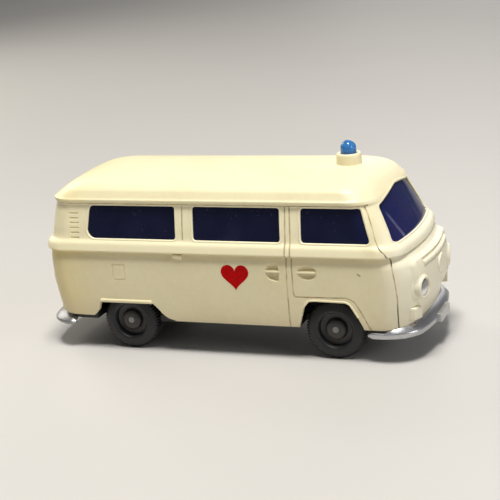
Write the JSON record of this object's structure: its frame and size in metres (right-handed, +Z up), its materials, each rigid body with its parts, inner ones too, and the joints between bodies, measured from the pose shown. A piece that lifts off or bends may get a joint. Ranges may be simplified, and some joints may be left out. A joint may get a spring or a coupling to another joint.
{
  "type": "toy ambulance van",
  "caption": "Small scale toy ambulance van with moulded body shell, dark glazing insert, roof beacon, silver bumpers and two rolling wheelsets.",
  "frame": {"origin": "on the ground under the tyres, at the middle of the length and width of the bounding box", "axes": "+X towards the nose, +Y to the van's left, +Z up"},
  "size_m": [0.052, 0.0198, 0.0255],
  "materials": {
    "ivory_plastic": "satin injection moulding, ivory",
    "blue_glazing": "polished, dark blue, nearly opaque",
    "blue_lens": "polished, translucent blue",
    "dark_plastic": "plain moulded",
    "silver_plastic": "silver coating on plastic, lightly worn",
    "steel_wire": "drawn wire, cut ends",
    "soft_tyre": "matt, finely ribbed tread",
    "brown_hub": "plain moulded"
  },
  "bodies": {
    "van": {"body_shell": "ivory_plastic", "glazing": "blue_glazing", "beacon_dome": "blue_lens", "base_plate": "dark_plastic", "front_bumper": "silver_plastic", "rear_bumper": "silver_plastic", "seat_insert": "dark_plastic"},
    "front_wheelset": {"front_axle": "steel_wire", "tyre_front_left": "soft_tyre", "tyre_front_right": "soft_tyre", "hub_front_left": "brown_hub", "hub_front_right": "brown_hub"},
    "rear_wheelset": {"rear_axle": "steel_wire", "tyre_rear_left": "soft_tyre", "tyre_rear_right": "soft_tyre", "hub_rear_left": "brown_hub", "hub_rear_right": "brown_hub"}
  },
  "joints": [
    {"name": "front_axle_roll", "type": "hinge", "parent": "van", "child": "front_wheelset", "pos_m": [0.01431, 0, 0.0038], "axis": [0, 1, 0], "continuous": true},
    {"name": "rear_axle_roll", "type": "hinge", "parent": "van", "child": "rear_wheelset", "pos_m": [-0.01328, 0, 0.0038], "axis": [0, 1, 0], "continuous": true}
  ]
}
